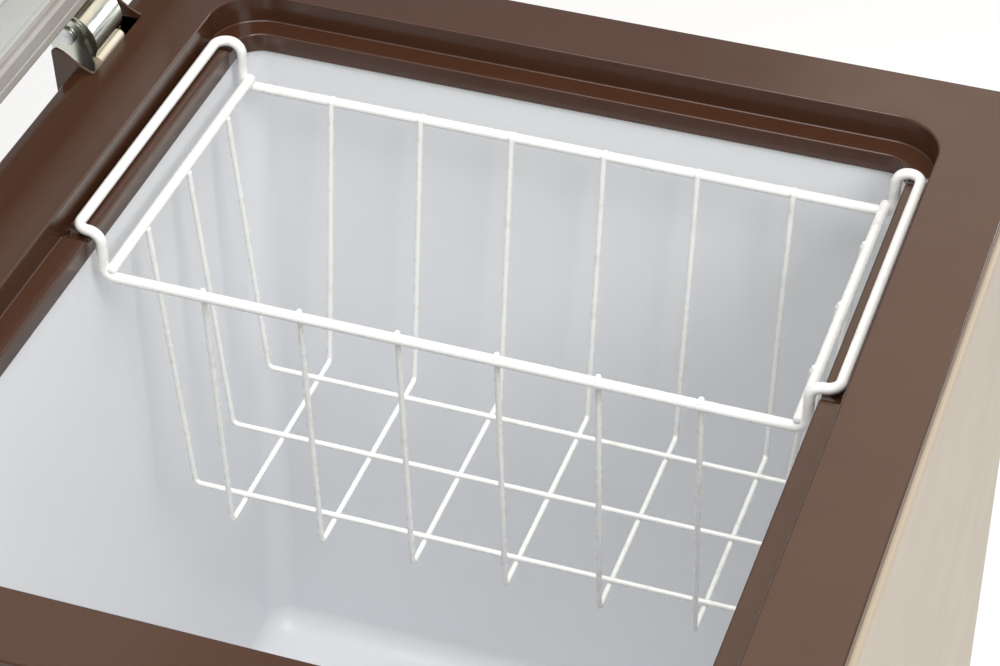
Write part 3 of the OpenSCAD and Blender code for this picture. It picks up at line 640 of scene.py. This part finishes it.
def cradle(s):
    """Pocket of one hinge: floor, walls and the two raised cheeks at its sides.

    The cheeks reach 10 mm further forward than the frame's own.
    """
    x0, x1 = s * HINGE_X - POCKET, s * HINGE_X + POCKET
    top = RIM - SLOPE_H
    pocket = boolean(
        block((x0 - POCKET_FIT, POCKET_Y - POCKET_T, POCKET_Z), (x1 + POCKET_FIT, BACK, top)),
        block((x0 + POCKET_T, POCKET_Y, POCKET_Z + POCKET_T), (x1 - POCKET_T, BACK + 1, top + 5)))
    side = eased([(BACK - 1, POCKET_Z), (BACK + 10, POCKET_Z + 6), (BACK + 12, RIM + 12),
                  (BACK + 9, RIM + 14), (BACK + 4, RIM + 12), (BACK - 6.5, RIM + 4.5),
                  (POCKET_Y - 1.5, RIM + 0.6), (POCKET_Y - 1.5, RIM - 6)],
                 [0, 2, 2, 2, 2, 2, 1, 0.5], 3, closed=True)
    cheeks = [prism(side, 0, x, x + POCKET_T) for x in (x0, x1 - POCKET_T)]
    return [softened(b, POCKET_EASE) for b in (pocket, *cheeks)]


def top_frame():
    """The moulding with its notches and hinge pockets."""
    bm = frame_moulding()
    for boss in notch_bosses():
        bm = boolean(bm, boss, "UNION")
    for groove in notch_rods(NOTCH_R, 0):
        bm = boolean(bm, groove)
    for s in (-1, 1):
        room = block((s * HINGE_X - POCKET, POCKET_Y - POCKET_T, POCKET_Z - 1),
                     (s * HINGE_X + POCKET, BACK + 1, RIM + 1))
        bm = boolean(bm, room)
    return joined([bm] + cradle(-1) + cradle(1))


BASKET_X = (rim_wire_lo.x + WIRE, rim_wire_hi.x - WIRE)
NOTCH_Z = LEDGE_Z + WIRE + HOOK_GAP

piece("top_frame_moulding", top_frame(), "top_frame")


# ---------- liner ----------

def liner_shell():
    """Stepped inner box with coves along its inner edges and a tight bend at the step's edge."""
    x0, x1 = liner_lo.x + LINER_T, liner_hi.x - LINER_T
    top = liner_hi.z
    outline = eased([(x0, top), (x0, FLOOR), (STEP_X, FLOOR),
                     (STEP_X, STEP_Z), (x1, STEP_Z), (x1, top)],
                    [0, LINER_R, LINER_R, STEP_R, LINER_R, 0], BEND_STEPS)
    bm = prism(outline, 1, liner_lo.y + LINER_T, liner_hi.y - LINER_T)
    mouth = max(bm.faces, key=lambda f: f.calc_center_median().z)
    bmesh.ops.delete(bm, geom=[mouth], context="FACES_ONLY")
    walls = [f for f in bm.faces if abs(f.normal.y) > 0.9]
    coves = [e for f in walls for e in f.edges if len(e.link_faces) == 2]
    bmesh.ops.bevel(bm, geom=coves, offset=LINER_R - COVE_SLACK, offset_type="OFFSET",
                    affect="EDGES", segments=BEND_STEPS, profile=0.5, material=-1)
    bmesh.ops.solidify(bm, geom=bm.faces[:], thickness=-LINER_T)
    bmesh.ops.recalc_face_normals(bm, faces=bm.faces)
    drill = rod((DRAIN.x, DRAIN.y, FLOOR - 6), (DRAIN.x, DRAIN.y, FLOOR + 4), DRAIN_R)
    bm = boolean(bm, drill)
    for gap in notch_rods(LINER_NOTCH_R, LINER_NOTCH_INSET):
        bm = boolean(bm, gap)
    return bm


piece("liner_shell", liner_shell(), "liner")


# ---------- basket ----------

LEG_Y = 205.8
RUN_Y = (rim_wire_hi.y - rim_wire_lo.y) / 2 - WIRE
RUN_Z = rim_wire_hi.z - WIRE
RIM_Z = rim_wire_lo.z + WIRE
BAR_Y = (bars_hi.y - bars_lo.y) / 2 - WIRE
BAR_Z = (bars_lo.z + bars_hi.z) / 2
LEAN = 18
RIM_WELD = (2.7, 2.3, 1.6)
RIM_WELD_UP = 2.2
BAR_WELD = (2.3, 2.6, 2.4)
BAR_WELD_IN = 1.6
BAR_WELD_UP = 1.2
BAR_END = (2.4, WIRE, WIRE)
GRID_END = (1.8, 1.8, 1.8)
LONG_RISE = 1.5
CROSS_DROP = 1
LONG_PITCH = (long_hi.y - long_lo.y - 2 * GRID) / 5
CROSS_PITCH = (cross_hi.x - cross_lo.x - 2 * GRID) / 2
BASKET_MID = sum(BASKET_X) / 2
LONG_AT = [MID_Y + i * LONG_PITCH for i in (-2.5, -1.5, -0.5, 0.5, 1.5, 2.5)]
CROSS_AT = [BASKET_MID + i * CROSS_PITCH for i in (-1, 0, 1)]


def rim_wire():
    """One bent wire: two end wires, four hooks and two runs on the ledges."""
    x0, x1 = BASKET_X
    half = [(x0, -LEG_Y, RIM_Z), (x0, -LEG_Y, RUN_Z), (x0, -RUN_Y, RUN_Z),
            (x1, -RUN_Y, RUN_Z), (x1, -LEG_Y, RUN_Z), (x1, -LEG_Y, RIM_Z)]
    loop = half + [(x, -y, z) for x, y, z in reversed(half)]
    line = eased([(x, y + MID_Y, z) for x, y, z in loop], HOOK_R - 0.01, 10, closed=True)
    welds = [bead((x, y, RIM_Z + RIM_WELD_UP), RIM_WELD) for x in BASKET_X for y in LONG_AT]
    return joined([wire(line, WIRE, closed=True, sides=6)] + welds)


def side_bars():
    """Two straight bars between the end wires, with rounded ends."""
    x0, x1 = bars_lo.x + 1, bars_hi.x - 1
    parts = []
    for s in (-1, 1):
        y = MID_Y + s * BAR_Y
        parts.append(wire([(x0, y, BAR_Z), (x1, y, BAR_Z)], WIRE, sides=6))
        parts += [bead((x, y, BAR_Z), BAR_END) for x in (x0, x1)]
        parts += [bead((x, y - s * BAR_WELD_IN, BAR_Z + BAR_WELD_UP), BAR_WELD) for x in CROSS_AT]
    return joined(parts)


def grid_wires(ends, top, floor, places, across):
    """Wires that run down one wall, along the basket's floor and up the other wall."""
    a, b = ends
    parts = []
    for at in places:
        line = eased([(a, top), (a + LEAN, floor), (b - LEAN, floor), (b, top)], GRID_R, 6)
        points = [(at, u, z) if across else (u, at, z) for u, z in line]
        parts.append(wire(points, GRID, sides=4))
        parts += [bead(points[i], GRID_END) for i in (0, -1)]
    return joined(parts)


piece("basket_rim", rim_wire(), "basket_rim_wire")
piece("basket_bars", side_bars(), "basket_side_bars")
piece("basket_long_grid", grid_wires(
    (BASKET_X[0] + WIRE, BASKET_X[1] - WIRE), RIM_Z + LONG_RISE, long_lo.z + GRID,
    LONG_AT, False), "basket_long_wires")
piece("basket_cross_grid", grid_wires(
    (MID_Y - BAR_Y + WIRE, MID_Y + BAR_Y - WIRE), BAR_Z - CROSS_DROP, cross_lo.z + GRID,
    CROSS_AT, True), "basket_cross_wires")


# ---------- lid, modelled closed and swung open ----------

def lid_skin():
    """Outer shell with its folded lip."""
    outside = eased([(LID_FOLD, LID_Z0 + SHEET), (LID_FOLD, LID_Z0), (0, LID_Z0), (0, LID_Z1),
                     (CAP_INSET, LID_Z1)], [0, 0.3, 1.4, 5, 0], 6)
    inside = eased([(CAP_INSET, LID_Z1 - SHEET), (SHEET, LID_Z1 - SHEET), (SHEET, LID_Z0 + SHEET),
                    (LID_FOLD - FOLD_FIT, LID_Z0 + SHEET)], [0, 4.2, 0.6, 0], 6)
    return loft(around(*LID_SHEET, inside + outside))


def lid_lining():
    """Inner panel with a rim that bears on the seal and a raised middle."""
    z = LID_Z0 + SHEET + LINING_FIT
    low = z - LINING_STEP
    middle = (2 * (BODY_X - MIDDLE_INSET), LID_D - 2 * MIDDLE_INSET, MIDDLE_R, LID_Y)
    rim = eased([(27, z), (31, z), (33, low), (37, low)], [0, 1.5, 1.5, 0], 3)
    edge = [(LINING_INSET, z + LINING_T), (LINING_INSET, z)]
    face = around(*LID_SHEET, edge + [tuple(p) for p in rim])
    face += around(*middle, eased(
        [(-14, low), (-6, low), (0, MIDDLE_Z), (CAP_INSET, MIDDLE_Z)], [0, 7, 9, 0], 7))
    behind = around(*middle, [(28, MIDDLE_Z + LINING_T), (1.6, MIDDLE_Z + LINING_T),
                              (-5, z + LINING_T)])
    return loft(behind + face)


def seal():
    """Magnetic seal: a flat foot, a narrow waist and a soft bulb."""
    t0, t1 = LID_FOLD + FOLD_FIT, LID_FOLD + FOLD_FIT + GASKET_W
    top, low = LID_Z0 + SHEET, RIM + SEAL_GAP
    side = [(0, top), (0, top - 1.6), (2.2, top - 2.4), (0.6, top - 3.6),
            (0.6, low + 1.4), (2.4, low)]
    groove = [(7.4, low), (8.4, low + 0.7), (9.4, low)]
    line = [(t0 + t, z) for t, z in side + groove] + [(t1 - t, z) for t, z in reversed(side)]
    radii = [0, 0.5, 0.5, 0.7, 0.9, 1.2, 0.3, 0.4, 0.3, 1.2, 0.9, 0.7, 0.5, 0.5, 0]
    return loft(around(*LID_SHEET, eased(line, radii, 3)), closed=True)


piece("lid_skin", lid_skin(), "lid_shell", opened=True)
piece("lid_lining", lid_lining(), "lid_liner", opened=True)
piece("lid_seal", seal(), "gasket", opened=True)


# ---------- springs ----------

TURNS = 17
PER_TURN = 18
COIL_R = 5.9
COIL_WIRE = 1.05
COIL_END = 1.1


def coil_springs():
    """Compression springs between the channel's floor and the cams."""
    z0, z1 = spring_lo.z + COIL_END, spring_hi.z - COIL_END
    y = (spring_lo.y + spring_hi.y) / 2
    parts = []
    for s in (-1, 1):
        line = []
        for i in range(TURNS * PER_TURN + 1):
            a = math.tau * i / PER_TURN
            line.append((s * HINGE_X + COIL_R * math.cos(a), y + COIL_R * math.sin(a),
                         z0 + (z1 - z0) * i / (TURNS * PER_TURN)))
        parts.append(wire(line, COIL_WIRE, sides=2))
    return joined(parts)


springs = piece("coil_springs", coil_springs(), "hinge_springs")
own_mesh(springs)


# ---------- pieces that keep their frame shape, with eased edges ----------

EASED = {
    "front_panel": 0.25, "left_panel": 0.25, "right_panel": 0.25, "back_panel": 0.25,
    "base_plate": 0.3, "feet": 0.8, "compressor_tray": 0.3, "compressor": 1.0,
    "compressor_mounts": 0.6, "start_relay": 1.2, "bay_cover": 0.3, "cord_gland": 0.5,
    "control_panel": 0.9, "thermostat": 1.0, "thermostat_knob": 0.9, "drain_plug": 0.5,
    "drain_cap": 0.7, "hinge_bodies": 0.35, "hinge_pins": 0.4, "hinge_cams": 0.5,
    "hinge_arms": 0.35, "lid_handle": 1.6, "handle_screws": 0.3, "indicator_lights": 0.2,
}
for node, width in EASED.items():
    piece(node + "_piece", softened(copied(node), width), node)

# The rest are shown as they are in the frame, with only their finish added.
for node in ("cabinet_foam", "evaporator_coil", "condenser_coil", "filter_drier", "discharge_pipe",
             "suction_pipe", "bay_cover_screws", "drain_tube", "hinge_screws", "hinge_arm_screws",
             "lid_foam"):
    held = frame["nodes"][node]
    held.data.materials.clear()
    held.data.materials.append(FINISH[SLOT_OF[node]])


# ---------- floor, light and camera ----------

def softbox(name, at, towards, size, power, colour=(1, 1, 1)):
    """Rectangular lamp that faces a point."""
    lamp = bpy.data.lights.new(name, "AREA")
    lamp.shape = "RECTANGLE"
    lamp.size, lamp.size_y = size
    lamp.energy = power
    lamp.color = colour
    holder = bpy.data.objects.new(name, lamp)
    holder.location = at
    holder.rotation_euler = (Vector(towards) - Vector(at)).to_track_quat("-Z", "Y").to_euler()
    bpy.context.scene.collection.objects.link(holder)


def studio():
    """Pale floor, pale surroundings and soft lamps."""
    ground = bmesh.new()
    bmesh.ops.create_grid(ground, x_segments=1, y_segments=1, size=30)
    mesh = bpy.data.meshes.new("floor")
    ground.to_mesh(mesh)
    ground.free()
    floor = bpy.data.objects.new("floor", mesh)
    bpy.context.scene.collection.objects.link(floor)
    pale = shader("pale_floor", (0.93, 0.93, 0.93), 0.9)
    mesh.materials.append(pale)
    world = bpy.data.worlds.new("pale_surroundings")
    world.use_nodes = True
    world.node_tree.nodes["Background"].inputs["Color"].default_value = (0.97, 0.985, 1, 1)
    world.node_tree.nodes["Background"].inputs["Strength"].default_value = 0.5
    bpy.context.scene.world = world
    softbox("overhead", (-0.5, -0.2, 3.4), (0, 0, 0.6), (1.8, 1.8), 62)
    softbox("front_bank", (-1.5, -2.1, 2.9), (0, 0, 0.8), (1.3, 1.3), 52)
    softbox("right_bank", (2.4, -0.5, 3.1), (0, -0.1, 0.8), (2.0, 2.2), 14, (1, 0.82, 0.64))
    softbox("edge_light", (2.9, -1.9, 1.45), (0, -0.2, 0.8), (0.7, 0.9), 12)


def camera():
    """Looks down into the opening from above the left front corner, slightly tilted."""
    stand = (-1.183, -0.461, 1.796)
    direction = (0.7401, 0.2485, -0.6249)
    tilt = 0.006
    lens = bpy.data.cameras.new("camera")
    lens.sensor_width = 36
    lens.lens = 107.7
    lens.clip_start = 0.05
    holder = bpy.data.objects.new("camera", lens)
    holder.location = stand
    aim = Vector(direction).to_track_quat("-Z", "Y")
    holder.rotation_mode = "QUATERNION"
    holder.rotation_quaternion = aim @ Quaternion((0, 0, 1), tilt)
    bpy.context.scene.collection.objects.link(holder)
    bpy.context.scene.camera = holder


studio()
camera()
bpy.context.scene.view_settings.view_transform = "Standard"
